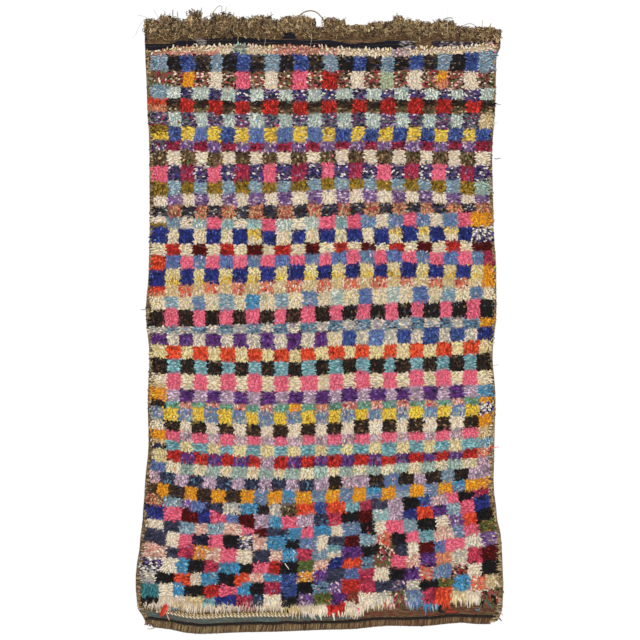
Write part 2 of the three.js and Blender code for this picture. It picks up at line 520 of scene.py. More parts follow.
# Bunches of loose warp ends: where each starts and stops, and how far past the edge it reaches
# at its two sides. Between two of them is a bare notch.
BUNCHES = np.array([
    (-612, -560, 42, 40),
    (-560, -500, 57, 50),
    (-500, -460, 40, 40),
    (-460, -415, 69, 74),
    (-415, -375, 38, 44),
    (-375, -300, 62, 57),
    (-300, -240, 45, 47),
    (-240, -165, 50, 50),
    (-165, -130, 38, 38),
    (-130, -12, 48, 44),
    (18, 88, 40, 28),
    (88, 172, 7, 7),
    (172, 262, 16, 31),
    (262, 292, 52, 44),
    (292, 400, 36, 27),
    (400, 470, 37, 40),
    (470, 545, 24, 14),
    (545, 610, 24, 20),
    (610, 634, 14, 12),
]) * MM

# --- The rug's outline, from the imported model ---


def corners_of(name):
    """The corners of a CAD node, in metres."""
    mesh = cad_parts[name].data
    places = np.empty(len(mesh.vertices) * 3, np.float32)
    mesh.vertices.foreach_get("co", places)
    return places.reshape(-1, 3).astype(float)


def profile(points, along, across):
    """A function that gives one coordinate of a line of points at the other."""
    ordered = points[np.argsort(points[:, along])]
    return lambda place: np.interp(place, ordered[:, along], ordered[:, across])


SIDE, END = 0.575, 0.59  # the selvedges lie further out than the first, the ends further in than the second
CORNER = 0.6  # the rug's corners lie about this far out from its middle
RUG = corners_of("rug")
FOOT = RUG[RUG[:, 2] < 0.1 * MM]
ENDS = FOOT[np.abs(FOOT[:, 0]) < END]
left_edge = profile(FOOT[FOOT[:, 0] < -SIDE] + [3 * MM, 0, 0], 1, 0)  # the wool draws in a little
right_edge = profile(FOOT[FOOT[:, 0] > SIDE] - [2 * MM, 0, 0], 1, 0)
closed_end = profile(ENDS[ENDS[:, 1] < 0], 0, 1)
frayed_end = profile(ENDS[ENDS[:, 1] > 0], 0, 1)
RUG_LENGTH = float(np.ptp(FOOT[:, 1]))
RUG_WIDTH = float(np.mean(right_edge(FOOT[:, 1]) - left_edge(FOOT[:, 1])))

WEAVE_HEIGHT = 3.2 * MM  # top of the flat weave
FIELD_HEIGHT = 10.0 * MM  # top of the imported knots, under the loose yarn ends
CREASE_PLACE, CREASE_WIDTH, CREASE_DEPTH = 12 * MM, 16 * MM, 2.5 * MM  # the soft crease along the rug
GROUND_PAINTED_SHADE = 0.64  # painted shade: the ground is darkened to this share of its block's colour, for the light that gets down between the yarn ends


def wander(rng, count, spread, reach=3):
    """A slowly wandering line of numbers, as uneven as hand work, with about the given spread."""
    kernel = np.hanning(2 * reach + 3)[1:-1]
    line = np.convolve(rng.normal(size=count + 2 * reach), kernel / np.sqrt((kernel**2).sum()), "valid")
    return spread * line[:count]


def read_off(table, place, column=1):
    """A column of a table, between its lines, at some places along its first column."""
    return np.interp(place, table[:, 0], table[:, column])


def at_stations(x, values):
    """A quantity given at the three stations, on one smooth curve through them."""
    a, b, c = STATIONS
    la = (x - b) * (x - c) / ((a - b) * (a - c))
    lb = (x - a) * (x - c) / ((b - a) * (b - c))
    lc = (x - a) * (x - b) / ((c - a) * (c - b))
    return values[0] * la + values[1] * lb + values[2] * lc


def selvedge_widths(y):
    """How much of the left and right edges the selvedge yarn covers at some levels."""
    return read_off(SELVEDGES, y), read_off(SELVEDGES, y, 2)


def pile_sides(y):
    """The left and right edges of the pile at some levels."""
    left, right = selvedge_widths(y)
    return left_edge(y) + left, right_edge(y) - right


def pile_top(x):
    """The level where the pile starts, below the frayed end's flat weave."""
    return frayed_end(x) - read_off(EDGE_ROW, x)


def pile_foot(x):
    """The level that the long yarn ends over the closed end reach down to."""
    return closed_end(x) + read_off(FOOT_LINE, x)


def lowest_knots(x):
    """The level of the last row of knots, whose long ends hang down to the pile's foot."""
    return pile_foot(x) + 0.85 * sizes().foot_reach


def column_bow(x, y):
    """How far the columns bow to the left, over the upper half of the rug and left of its middle."""
    return 10 * MM * np.exp(-(((x + 0.26) / 0.2) ** 2)) * np.clip((y + 0.1) / 0.25, 0, 1)


def crease(x, y):
    """How far the soft lengthwise crease lowers the pile."""
    middle = 1 - np.clip(np.abs(y) / (0.5 * RUG_LENGTH), 0, 1) ** 2
    return CREASE_DEPTH * middle * np.exp(-(((x - CREASE_PLACE) / CREASE_WIDTH) ** 2))


# --- Which yarn is knotted where ---


def shares(block):
    """The share of each yarn in a block."""
    weights = np.zeros(len(YARNS))
    words = MIXES.get(block, f"{block} 1").split()
    for name, weight in zip(words[::2], words[1::2]):
        weights[YARN_INDEX[name]] = float(weight)
    return weights / weights.sum()


def block_names(course):
    """The blocks of one course from left to right. The last is often wider or narrower."""
    repeat = course.repeat.split()
    names = [repeat[i % len(repeat)] for i in range(round(course.blocks))]
    names[0] = course.first or names[0]
    names[-1] = course.last or names[-1]
    return names


class Chart:
    """Looks up the block, and the yarn drawn for it, at any place on the rug."""

    def __init__(self):
        rng = np.random.default_rng(sizes().seed)
        rows, most = len(CHART), max(round(c.blocks) for c in CHART)
        self.most = most
        self.heights = np.array([[c.left, c.middle, c.right] for c in CHART]) * MM
        self.counts = np.array([c.blocks for c in CHART])
        self.wider = np.array([c.wider for c in CHART])
        loose = np.where(np.arange(rows) < PATCHWORK, 1.0, LOOSER_COLUMNS)
        # The lines between columns drift slowly down the rug, and each knot count slips a little.
        drift = np.array([wander(rng, rows, COLUMN_DRIFT, 2) for _ in range(most + 1)]).T
        self.lean = drift + rng.normal(0, COLUMN_JITTER, drift.shape) * loose[:, None]
        slip = np.array([wander(rng, most, COURSE_SLIP) for _ in range(rows + 1)])
        self.drop = slip + rng.normal(0, COURSE_SLIP, slip.shape)
        self.drop[PATCHWORK + 1 : -1] *= LOOSER_COURSES
        self.shares = np.zeros((rows, most, 2, len(YARNS)))
        for row, course in enumerate(CHART):
            for column, name in enumerate(block_names(course)):
                halves = name.split("/")
                self.shares[row, column, 0] = shares(halves[0])
                self.shares[row, column, 1] = shares(halves[-1])
        # Dark ends show over the edge of a pale block, so that the line moves to the pale side.
        tone = self.shares.mean(2) @ dye_colours() @ LUMINANCE
        self.lean[:, 1:most] += DARK_OVERLAP * np.diff(tone, axis=1)

    def find(self, x, y):
        """Each place's course, block, and place in its block from -1 to 1 across and 0 to 1 down."""
        left, right = pile_sides(y)
        share = np.clip((x + column_bow(x, y) - left) / (right - left), 0, 0.9999)
        column = (share * self.most).astype(int)
        depths = np.cumsum([at_stations(x, h) for h in self.heights], 0).T
        start = frayed_end(x) - at_stations(x, SKIRT)
        lines = start[:, None] - np.concatenate([np.zeros((len(x), 1)), depths], 1)
        lines[:, 0] = pile_top(x)
        lines[:, 1] = frayed_end(x) - read_off(EDGE_ROW, x, 2)
        lines[:, 1:] += self.drop[1:, column].T
        course = np.clip((y[:, None] <= lines).sum(1) - 1, 0, len(CHART) - 1)
        rows = np.arange(len(x))
        top, bottom = lines[rows, course], lines[rows, course + 1]
        down = np.clip((top - y) / np.maximum(top - bottom, MM), 0, 1)
        place = share * (self.counts[course] + self.wider[course]) - self.wider[course]
        near = np.round(place).astype(int)
        inner = (near > 0) & (near < np.round(self.counts[course]))
        place = np.where(inner, place - self.lean[course, near], place)
        block = np.clip(np.floor(place), 0, np.round(self.counts[course]) - 1).astype(int)
        return course, block, 2 * (place - block) - 1, down

    def shares_at(self, course, block, down):
        """The share of each yarn at each place. A block in two halves changes a little below its middle."""
        return self.shares[course, block, (down > HALF_LINE).astype(int)]

    def yarns(self, draw, course, block, down):
        """The yarn for each place, picked by a number from 0 to 1."""
        return picked(draw, self.shares_at(course, block, down))

    def mean_colours(self, course, block, down):
        """The mean colour of the block at each place."""
        return self.shares_at(course, block, down) @ dye_colours()


# --- Meshes of many yarns ---


def unit(vectors):
    """Vectors scaled to length one."""
    return vectors / np.maximum(np.linalg.norm(vectors, axis=-1, keepdims=True), 1e-12)


def yarn_rings(paths, radii, sides, flatten):
    """The rings of vertices round each yarn's path: (yarns, points, sides, 3)."""
    tangents = unit(np.gradient(paths, axis=1))
    up = np.array([0.0, 0.0, 1.0])
    across = unit(np.cross(up, tangents) + 0.1 * np.array([1.0, 0.0, 0.0]))
    across = unit(across - (across * tangents).sum(-1, keepdims=True) * tangents)
    above = np.cross(tangents, across)
    roll = 0.35 * np.sin(2.4 * np.arange(len(paths)))
    turn = (roll[:, None] + 2 * math.pi * (np.arange(sides) + 0.25) / sides)[:, None, :, None]
    ring = np.cos(turn) * across[:, :, None, :] + flatten * np.sin(turn) * above[:, :, None, :]
    return paths[:, :, None, :] + ring * radii[:, :, None, None]


def yarn_faces(yarns, points, sides):
    """Corner indices and sizes of every face, and each corner's place round and along its yarn.

    Tens of thousands of yarns are too many to extrude one by one, so all are made at once.
    """
    p, k = (a.ravel() for a in np.meshgrid(np.arange(points - 1), np.arange(sides), indexing="ij"))
    n = (k + 1) % sides
    walls = np.stack([p * sides + k, p * sides + n, (p + 1) * sides + n, (p + 1) * sides + k], 1)
    wall_round = np.stack([k, k + 1, k + 1, k], 1) / sides
    wall_along = np.stack([p, p, p + 1, p + 1], 1) / (points - 1)
    ring = np.arange(sides)
    caps = np.stack([ring[::-1], (points - 1) * sides + ring])
    corners = np.concatenate([walls.ravel(), caps.ravel()])
    counts = np.concatenate([np.full(len(walls), 4), np.full(2, sides)])
    turn = 2 * math.pi * ring / sides
    cap_round = np.stack([0.5 + 0.4 * np.cos(turn[::-1]), 0.5 + 0.4 * np.cos(turn)])
    cap_along = np.stack([-0.12 + 0.08 * np.sin(turn[::-1]), 1.12 + 0.08 * np.sin(turn)])
    around = np.concatenate([wall_round.ravel(), cap_round.ravel()])
    along = np.concatenate([wall_along.ravel(), cap_along.ravel()])
    step = np.arange(yarns)[:, None] * points * sides
    return (corners + step).ravel(), np.tile(counts, yarns), around, along


def yarn_piece(name, paths, radii, tints, material, sides=3, flatten=1.0):
    """One mesh of many yarns: paths (yarns, points, 3), radii (yarns, points), tints (yarns, points, 3)."""
    yarns, points = paths.shape[:2]
    places = yarn_rings(paths, radii, sides, flatten)
    places[..., 2] = places[..., 2].clip(0.1 * MM)  # pressed flat where it meets the floor
    corners, counts, around, along = yarn_faces(yarns, points, sides)
    mesh = bpy.data.meshes.new(name)
    mesh.vertices.add(yarns * points * sides)
    mesh.vertices.foreach_set("co", places.astype(np.float32).ravel())
    mesh.loops.add(len(corners))
    mesh.loops.foreach_set("vertex_index", corners.astype(np.int32))
    mesh.polygons.add(len(counts))
    starts = np.concatenate([[0], np.cumsum(counts)[:-1]])
    mesh.polygons.foreach_set("loop_start", starts.astype(np.int32))
    mesh.update(calc_edges=True)
    mesh.shade_smooth()
    # Each yarn has its own cell of the map, so that its colour keeps to itself.
    cells = math.ceil(math.sqrt(yarns))
    cell = np.arange(yarns)[:, None]
    u = (cell % cells + 0.06 + 0.88 * around[None]) / cells
    v = (cell // cells + 0.2 + 0.6 * along[None]) / cells
    add_map(mesh, "OFBake", u, v)
    steps = np.linalg.norm(np.diff(paths, axis=1), axis=2)
    reach = steps.sum(1)[:, None] * along[None]
    add_map(mesh, "twist", np.broadcast_to(around[None], reach.shape), reach)
    add_colours(mesh, np.repeat(tints[:, :, None, :], sides, axis=2).reshape(-1, 3))
    return add_piece(name, mesh, material)


def add_map(mesh, name, u, v):
    """A UV map from each corner's two coordinates."""
    layer = mesh.uv_layers.new(name=name, do_init=False)
    layer.uv.foreach_set("vector", np.stack([u, v], -1).astype(np.float32).ravel())


def add_colours(mesh, colours):
    """The dye attribute: a linear colour for each vertex, painted shade included where a piece has it."""
    attribute = mesh.color_attributes.new("dye", "FLOAT_COLOR", "POINT")
    rgba = np.concatenate([np.clip(colours, 0.001, 0.96), np.ones((len(colours), 1))], 1)
    attribute.data.foreach_set("color", rgba.astype(np.float32).ravel())


def add_piece(name, mesh, material):
    """A shown piece that rides on the rug's one body."""
    piece = bpy.data.objects.new(name, mesh)
    bpy.context.scene.collection.objects.link(piece)
    mesh.materials.append(material)
    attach(piece, "root")
    return piece


# --- Wools ---


def node(tree, kind, inputs=None, **values):
    """Adds a node, sets its values, and fills its inputs with numbers, colours or other outputs."""
    made = tree.nodes.new(kind)
    for key, value in values.items():
        setattr(made, key, value)
    for key, value in (inputs or {}).items():
        if isinstance(value, bpy.types.NodeSocket):
            tree.links.new(value, made.inputs[key])
        else:
            made.inputs[key].default_value = value
    return made


def dyed_surface(name, roughness, sheen, patch, mottle):
    """A wool material whose colour is its yarns' dye, taken unevenly over patches of the given size."""
    material = bpy.data.materials.new(name)
    material.use_nodes = True
    tree = material.node_tree
    surface = tree.nodes["Principled BSDF"]
    tint = node(tree, "ShaderNodeAttribute", attribute_name="dye")
    place = node(tree, "ShaderNodeTexCoord")
    noise = {"Vector": place.outputs["Object"], "Scale": 1 / patch, "Detail": 3.0, "Roughness": 0.6}
    patches = node(tree, "ShaderNodeTexNoise", noise)
    limits = {"From Min": 0.3, "From Max": 0.7, "To Min": 1 - mottle, "To Max": 1 + mottle}
    uptake = node(tree, "ShaderNodeMapRange", {"Value": patches.outputs["Fac"], **limits})
    taken = {0: tint.outputs["Color"], "Scale": uptake.outputs[0]}
    colour = node(tree, "ShaderNodeVectorMath", taken, operation="SCALE")
    tree.links.new(colour.outputs[0], surface.inputs["Base Color"])
    surface.inputs["Roughness"].default_value = roughness
    surface.inputs["Specular IOR Level"].default_value = 0.12
    surface.inputs["Sheen Weight"].default_value = sheen
    surface.inputs["Sheen Roughness"].default_value = 0.6
    return material, tree, surface, place


def spun_yarn(name, roughness, sheen, ply, mottle, relief):
    """Spun and plied wool: dry and hazy, with its plies winding round it once in each length of ply."""
    material, tree, surface, place = dyed_surface(name, roughness, sheen, 3.5 * MM, mottle)
    twist = node(tree, "ShaderNodeUVMap", uv_map="twist")
    parts = node(tree, "ShaderNodeSeparateXYZ", {0: twist.outputs["UV"]})
    turns = node(tree, "ShaderNodeMath", {0: parts.outputs["Y"], 1: 1 / ply}, operation="MULTIPLY")
    around = node(tree, "ShaderNodeMath", {0: parts.outputs["X"], 1: turns.outputs[0]}, operation="ADD")
    angle = node(tree, "ShaderNodeMath", {0: around.outputs[0], 1: 2 * math.tau}, operation="MULTIPLY")
    plies = node(tree, "ShaderNodeMath", {0: angle.outputs[0]}, operation="SINE")
    # Loose fibres, drawn coarser than they are so that they still show.
    noise = {"Vector": place.outputs["Object"], "Scale": 1 / (0.8 * MM), "Detail": 2.0}
    fibre = node(tree, "ShaderNodeTexNoise", noise)
    wound = {0: plies.outputs[0], 1: 0.35, 2: fibre.outputs["Fac"]}
    height = node(tree, "ShaderNodeMath", wound, operation="MULTIPLY_ADD")
    bump = node(tree, "ShaderNodeBump", {"Height": height.outputs[0], "Distance": relief, "Strength": 0.7})
    tree.links.new(bump.outputs[0], surface.inputs["Normal"])
    return material


def ribbed_cloth(name):
    """Weft-faced wool cloth, seen as close ribs between the knots and on the back."""
    material, tree, surface, place = dyed_surface(name, 0.95, 0.05, 5 * MM, 0.18)
    parts = node(tree, "ShaderNodeSeparateXYZ", {0: place.outputs["Object"]})
    pitch = {0: parts.outputs["Y"], 1: math.tau / sizes().weft_pitch}
    rows = node(tree, "ShaderNodeMath", pitch, operation="MULTIPLY")
    ribs = node(tree, "ShaderNodeMath", {0: rows.outputs[0]}, operation="SINE")
    bump = node(tree, "ShaderNodeBump", {"Height": ribs.outputs[0], "Distance": 0.6 * MM, "Strength": 0.7})
    tree.links.new(bump.outputs[0], surface.inputs["Normal"])
    return material


# --- Woven ground ---


def place_on_rug(across, along):
    """The place on the rug at a share of its width and length."""
    level = closed_end(0.0) + along * (frayed_end(0.0) - closed_end(0.0))
    x = left_edge(level) + across * (right_edge(level) - left_edge(level))
    y = closed_end(x) + along * (frayed_end(x) - closed_end(x))
    return x, y


def field_share(x, y):
    """How far inside the piled field a place is: 0 outside it, 1 well inside."""
    left, right = pile_sides(y)
    inside = np.minimum.reduce([x - left, right - x, pile_top(x) - y, y - pile_foot(x) - 12 * MM])
    return np.clip(inside / (8 * MM), 0, 1)


def weave_ground():
    """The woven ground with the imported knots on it, as one closed cloth."""
    rng = np.random.default_rng(sizes().seed)
    columns, rows = 90, 150
    underside = 0.2 * MM  # just off the floor
    body = bmesh.new()
    bmesh.ops.create_grid(body, x_segments=columns, y_segments=rows, size=0.5)
    for vert in body.verts:
        x, y = place_on_rug(vert.co.x + 0.5, vert.co.y + 0.5)
        vert.co = (x, y, WEAVE_HEIGHT)
    bmesh.ops.solidify(body, geom=body.faces[:], thickness=WEAVE_HEIGHT - underside)
    bmesh.ops.recalc_face_normals(body, faces=body.faces)
    mesh = bpy.data.meshes.new("ground_weave")
    body.to_mesh(mesh)
    body.free()
    places = np.array([v.co for v in mesh.vertices])
    x, y, z = places.T
    top = z > 0.5 * WEAVE_HEIGHT
    inside = field_share(x, y)
    raised = (FIELD_HEIGHT - WEAVE_HEIGHT - crease(x, y) + rng.normal(0, 0.5 * MM, len(x))) * inside
    places[:, 2] = np.where(top, WEAVE_HEIGHT + raised, underside)
    mesh.vertices.foreach_set("co", places.astype(np.float32).ravel())
    mesh.update()
    mesh.shade_smooth()
    chart = Chart()
    course, block, _, down = chart.find(x, y)
    # Painted shade: the ground under the pile takes its block's colour, darkened for the shade between the
    # yarn ends.
    field = GROUND_PAINTED_SHADE * chart.mean_colours(course, block, down)
    add_colours(mesh, np.where((inside > 0.05)[:, None], field, dye("khaki")))
    piece = add_piece("ground_weave", mesh, ribbed_cloth("weft_faced_wool_ground"))
    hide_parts("rug")


class RUG_OT_weave_ground(bpy.types.Operator):
    """Weave the ground cloth that carries the knots"""

    bl_idname = "rug.weave_ground"
    bl_label = "Weave ground"

    def execute(self, context):
        weave_ground()
        return {"FINISHED"}


# --- Pile ---

WIDEST = 0.7  # the rows of knots are cut back from this far out on both sides
SCATTER_ACROSS, SCATTER_ALONG = 0.18, 0.2  # in pitches
STROKED_SHARE = 0.36  # of the blocks lie sideways
PARTED_FROM = 0.6  # how far out in a block, from its middle to its edge, the pile starts to part
PARTING_DEPTH, PARTING_PAINTED_SHADE = 0.35, 0.2  # how much lower the pile lies at a block's edge, and how much painted shade darkens it there
STRAY_SHARE = 0.003  # of the yarn ends have a colour from elsewhere
DEEP_FAMILIES = ("deep_blue", "dark", "purple", "red")
# How unevenly a yarn takes up its dye: pale undyed wools, bright ones, deep ones, and the rest.
UNEVENNESS = (0.06, 0.1, 0.36, 0.2)


def knot_places(rng):
    """The roots of all yarn ends, row by row from the frayed end down."""
    s = sizes()
    # The first and last knots of the rows make two uneven lines down the sides.
    levels = np.linspace(-1.15, 1.05, 4001)
    left_line, right_line = (wander(rng, len(levels), 2.5 * MM, 50) for _ in range(2))
    roots = []
    for row in range(int(RUG_LENGTH / s.row_pitch)):
        x = np.arange(-WIDEST, WIDEST, s.knot_pitch) + (row % 2) * s.knot_pitch / 2
        x = x + rng.normal(0, SCATTER_ACROSS * s.knot_pitch, len(x))
        scatter = rng.normal(0, SCATTER_ALONG * s.row_pitch, len(x))
        y = pile_top(x) - 2 * MM - row * s.row_pitch + scatter
        left, right = pile_sides(y)
        left = left + np.interp(y, levels, left_line)
        right = right - np.interp(y, levels, right_line)
        keep = (x > left) & (x < right) & (y > lowest_knots(x))
        roots.append(np.stack([x, y], 1)[keep])
    return np.concatenate(roots)


def lean_yarns(rng, chart, foot, course, block, aside, down):
    """Which way each yarn end leans, as unit vectors in the plane."""
    count = len(foot)
    # Every block spreads a little from its middle, some much more than others. Most lean down the
    # rug, and the rest are stroked sideways, all the blocks of one colour in a course alike.
    splay = rng.uniform(0.1, 0.7, chart.shares.shape[:2])[course, block]
    fan = np.stack([splay * aside, splay * (1 - 2 * down) - 0.7], 1) + rng.normal(0, 0.42, (count, 2))
    sideways = np.stack([np.sign(aside + rng.normal(0, 0.7, count)), np.full(count, -0.15)], 1)
    sideways = sideways + rng.normal(0, 0.22, (count, 2))
    stroked = (rng.random((len(CHART), 2)) < STROKED_SHARE)[course, block % 2]
    ahead = np.where(stroked[:, None], sideways, fan)
    ahead = np.where(foot[:, None], [0, -1] + rng.normal(0, 0.2, (count, 2)), ahead)
    # The row that edges the pile stands up, its top half leaning back over the flat weave.
    edge_lean = np.array([0, 1]) * (0.8 - 1.6 * down)[:, None]
    ahead = np.where((course == 0)[:, None], edge_lean + rng.normal(0, 0.5, (count, 2)), ahead)
    return unit(ahead)


def bend_yarns(rng, x, y, chart):
    """The bent-over paths of the yarn ends, the block that each belongs to, and how far it is parted."""
    s = sizes()
    count = len(x)
    foot = y < lowest_knots(x) + FOOT_ROW
    reach = s.reach * rng.normal(1, 0.24, count).clip(0.4, 1.7)
    reach = np.where(foot, s.foot_reach * rng.normal(1, 0.14, count), reach)
    course, block, aside, down = chart.find(x, y - 0.35 * s.reach)
    ahead = lean_yarns(rng, chart, foot, course, block, aside, down)
    lift = rng.normal(0, 0.7 * MM, chart.shares.shape[:2])[course, block]
    rise = s.rise * rng.normal(1, 0.16, count).clip(0.5, 1.4) + lift
    # The pile parts along the edges of its blocks, where it lies lower, and where its colour is darkened
    # with painted shade.
    off_middle = np.maximum(np.abs(aside), np.abs(2 * down - 1))
    parting = np.where(course > 0, np.clip((off_middle - PARTED_FROM) / (1 - PARTED_FROM), 0, 1), 0)
    rise = np.where(foot, 0.8, 1 - PARTING_DEPTH * parting) * rise
    droop = rng.uniform(-0.5, 3.0, count) * MM + np.where(foot, 4 * MM, 0)
    t = np.array([[0.0, 0.5, 1.0]])
    along = reach[:, None] * (0.35 * t + 0.65 * t**2)
    bend = rng.normal(0, 0.12, count)[:, None] * reach[:, None] * np.sin(math.pi * t)
    side = np.stack([-ahead[:, 1], ahead[:, 0]], 1)
    start = np.stack([x, y], 1)
    flat = start[:, None] + along[..., None] * ahead[:, None] + bend[..., None] * side[:, None]
    root = FIELD_HEIGHT - 2.0 * MM - crease(x, y)
    z = root[:, None] + rise[:, None] * (1 - (1 - t) ** 2.2) - droop[:, None] * t**3
    # A yarn's colour is settled by where most of it shows, so that the blocks keep their edges.
    showing = np.where(foot[:, None], [0.18, 0.18], [0.6, 0.35])
    course, block, _, down = chart.find(*(start + showing * reach[:, None] * ahead).T)
    return np.concatenate([flat, z[..., None]], 2), course, block, down, parting


def dye_and_shade_pile(rng, yarn, knot, chart, course, block):
    """Each yarn end's colour at its three points, with painted shade at its root and its tip worn paler."""
    count = len(yarn)
    # Each basket of wool was dyed a little differently, and each yarn end took it differently again.
    batch = rng.normal(1, 0.05, chart.shares.shape[:2])[course, block]
    uptake = rng.normal(0, 0.85, knot[-1] + 1)[knot] + rng.normal(0, 0.5, count)
    undyed = np.isin(yarn, numbers(FAMILIES["undyed"]))
    bright = np.isin(yarn, numbers("yellow pale_yellow orange pale_green"))
    deep = np.isin(yarn, numbers(" ".join(FAMILIES[name] for name in DEEP_FAMILIES)))
    spread = np.select([undyed, bright, deep], UNEVENNESS[:3], UNEVENNESS[3])
    level = batch * (1 + spread * uptake.clip(-2.2, 2.2))
    tints = dye_colours()[yarn] * level[:, None] * rng.normal(1, 0.025, (count, 3))
    # Painted shade darkens each end towards its root, deep in the pile; its tip is worn paler.
    root_shade_tip_wear = np.where(undyed[:, None], [[0.84, 1.0, 1.1]], [[0.5, 1.0, 1.2]])
    return tints[:, None] * root_shade_tip_wear[..., None]


def knot_pile():
    """The pile, one piece for each family of dyes."""
    s = sizes()
    rng = np.random.default_rng(s.seed + 1)
    chart = Chart()
    x, y = knot_places(rng).T
    paths, course, block, down, parting = bend_yarns(rng, x, y, chart)
    # A knot holds several strands, so its two ends seldom show quite the same ones.
    knot = np.arange(len(x)) // 2
    draw = rng.random(len(x))
    yarn = chart.yarns(draw, course, block, down + rng.normal(0, 0.08, len(down)))
    yarn = np.where(rng.random(len(x)) < STRAY_SHARE, rng.integers(0, len(YARNS), len(x)), yarn)
    # Painted shade: the ends are darkened where the pile parts at a block's edge.
    shade = 1 - PARTING_PAINTED_SHADE * parting
    tints = dye_and_shade_pile(rng, yarn, knot, chart, course, block) * shade[:, None, None]
    taper = np.array([[1.0, 1.12, 0.72]])
    radii = s.yarn_radius * rng.normal(1, 0.12, len(x)).clip(0.6, 1.35)[:, None] * taper
    # The last course is thin on the left, where the ground shows between its ends.
    thin = (course == len(CHART) - 1) & (x < -60 * MM)
    radii = radii * np.where(thin, 0.62, 1)[:, None]
    for family, members in FAMILIES.items():
        mine = np.isin(yarn, numbers(members))
        # Soft-spun two-ply knotting wool: matt, with a slight bloom from its loose fibres.
        material = spun_yarn(f"soft_spun_{family}_wool", 0.92, 0.03, 9 * MM, 0.12, 0.5 * MM)
        piece = yarn_piece(f"pile_{family}", paths[mine], radii[mine], tints[mine], material, flatten=0.8)


class RUG_OT_knot_pile(bpy.types.Operator):
    """Knot the checked pile, one piece for each family of dyes"""

    bl_idname = "rug.knot_pile"
    bl_label = "Knot pile"

    def execute(self, context):
        knot_pile()
        return {"FINISHED"}


# --- Flat weave at the two ends ---

SHOT_POINTS = 150  # along each shot of weft
FRAYED_END_SHADE = 0.86  # the frayed end's weave is duller than the closed end's
PALE_STRIPES = ((-440 * MM, -400 * MM), (280 * MM, WIDEST))  # where the frayed end's dark stripe is pale
CLOSED_BAND = (35 * MM, 57 * MM)  # the band across the closed end, in distances from it
# The dark line between heading and band, and two pale ones under the long ends: name, height above
# the end, where it starts and stops, how far its yarns swing to each side, and the yarns.
TWINED_LINES = (
    ("twined_dark_line", 27.5 * MM, (-600 * MM, 618 * MM), 3.6 * MM, "black dark_brown"),
    ("twined_pale_line", 53 * MM, (-570 * MM, -100 * MM), 3.2 * MM, "cream straw"),
    ("twined_pale_line_2", 61 * MM, (-570 * MM, -100 * MM), 3.0 * MM, "beige khaki"),
)


def weft_paths(rng, end_line, inward, start, stop, points):
    """Shots of weft from one distance off an end to another, and how far each point is from it."""
    s = sizes()
    shots = int((stop - start) / s.weft_pitch)
    offset = start + (np.arange(shots) + 0.5)[:, None] * s.weft_pitch
    offset = offset + np.array([wander(rng, points, 0.5 * MM, 6) for _ in range(shots)])
    share = np.linspace(0, 1, points)[None]
    left = left_edge(end_line(-CORNER) + inward * offset) + 1.5 * MM
    right = right_edge(end_line(CORNER) + inward * offset) - 1.5 * MM
    x = left + share * (right - left)
    y = end_line(x) + inward * offset
    over = np.where((np.arange(shots)[:, None] + np.arange(points)[None]) % 2, 1, -1)
    z = WEAVE_HEIGHT + 0.2 * MM + 0.45 * MM * over
    return np.stack([x, y, z], 2), offset


def curl(rng, starts, headings, lengths, points, crimp):
    """Paths in the plane that keep their length as they curl by about crimp radians: (yarns, points, 2)."""
    count = len(starts)
    t = np.linspace(0, 1, points)[None]
    waves = rng.uniform(0.8, 2.2, count)[:, None]
    phase = rng.uniform(0, math.tau, count)[:, None]
    drift = rng.normal(0, 0.5, count)[:, None]
    sweep = crimp * rng.uniform(0.5, 1.4, count)[:, None]
    angle = headings[:, None] + sweep * np.sin(math.tau * waves * t + phase) + drift * t
    step = (lengths / (points - 1))[:, None, None] * np.stack([np.cos(angle), np.sin(angle)], 2)
    return starts[:, None] + np.concatenate([np.zeros((count, 1, 2)), np.cumsum(step[:, :-1], 1)], 1)


def mottled(rng, tints, rows, spots):
    """Tints varied from one shot to the next and from place to place along it."""
    row = rng.normal(1, rows, (tints.shape[0], 1, 1))
    spot = rng.normal(1, spots, tints.shape[:2] + (1,))
    return tints * row.clip(0.6, 1.4) * spot.clip(0.5, 1.5)


def rusty():
    """Brown wool with some brick in it."""
    return 0.75 * dye("brown") + 0.25 * dye("brick")


def weave_frayed_end(rng):
    """Brown wefts with one dark stripe just before the pile, which turns pale in two places."""
    paths, offset = weft_paths(rng, frayed_end, -1, 0, 84 * MM, SHOT_POINTS)
    x = paths[..., 0]
    blend = rng.random(x.shape)[..., None]
    browns = [dye("khaki"), dye("brown") * 1.25, 0.5 * (dye("khaki") + dye("olive"))]
    tints = FRAYED_END_SHADE * np.select([blend < 0.35, blend < 0.75, blend <= 0.88], browns, rusty())
    dark = np.where(blend < 0.6, dye("navy") * 0.35, dye("black") * 0.7)
    fleck = np.select([blend < 0.2, blend < 0.5], [dye("grey"), dye("mauve") * 0.4], dye("black"))
    pale = np.any([(x > start) & (x < stop) for start, stop in PALE_STRIPES], 0)[..., None]
    striped = ((offset > read_off(STRIPE, x)) & (offset < read_off(STRIPE, x, 2)))[..., None]
    tints = np.where(striped, np.where(pale, fleck, dark), tints)
    add_wefts("weft_frayed_end", paths, mottled(rng, tints, 0.1, 0.16))


def weave_closed_end(rng):
    """A brown heading, then a band of grey teal on the left that turns to brick on the right."""
    paths, offset = weft_paths(rng, closed_end, 1, 14 * MM, 98 * MM, SHOT_POINTS)
    x = paths[..., :1]
    blend = rng.random(x.shape)
    browns = [dye("khaki") * 1.1, dye("brown") * 1.2]
    tints = np.select([blend < 0.55, blend < 0.85], browns, dye("straw"))
    tints = np.where((x > 250 * MM) & (blend > 0.82), rusty(), tints)
    banded = ((offset > CLOSED_BAND[0]) & (offset < CLOSED_BAND[1]))[..., None]
    ruddy = np.where(x < 280 * MM, 0.5 * rusty() + 0.3 * dye("brick"), rusty())
    brick = np.select([blend < 0.5, blend < 0.93], [ruddy, dye("khaki") * 0.8], dye("brick") * 0.9)
    teals = [dye("teal_grey") * 0.72, dye("khaki") * 0.8]
    teal = np.select([blend < 0.7, blend < 0.85], teals, dye("teal_grey"))
    tints = np.where(banded, np.where(x > 140 * MM, brick, teal), tints)
    add_wefts("weft_closed_end", paths, mottled(rng, tints, 0.07, 0.14))


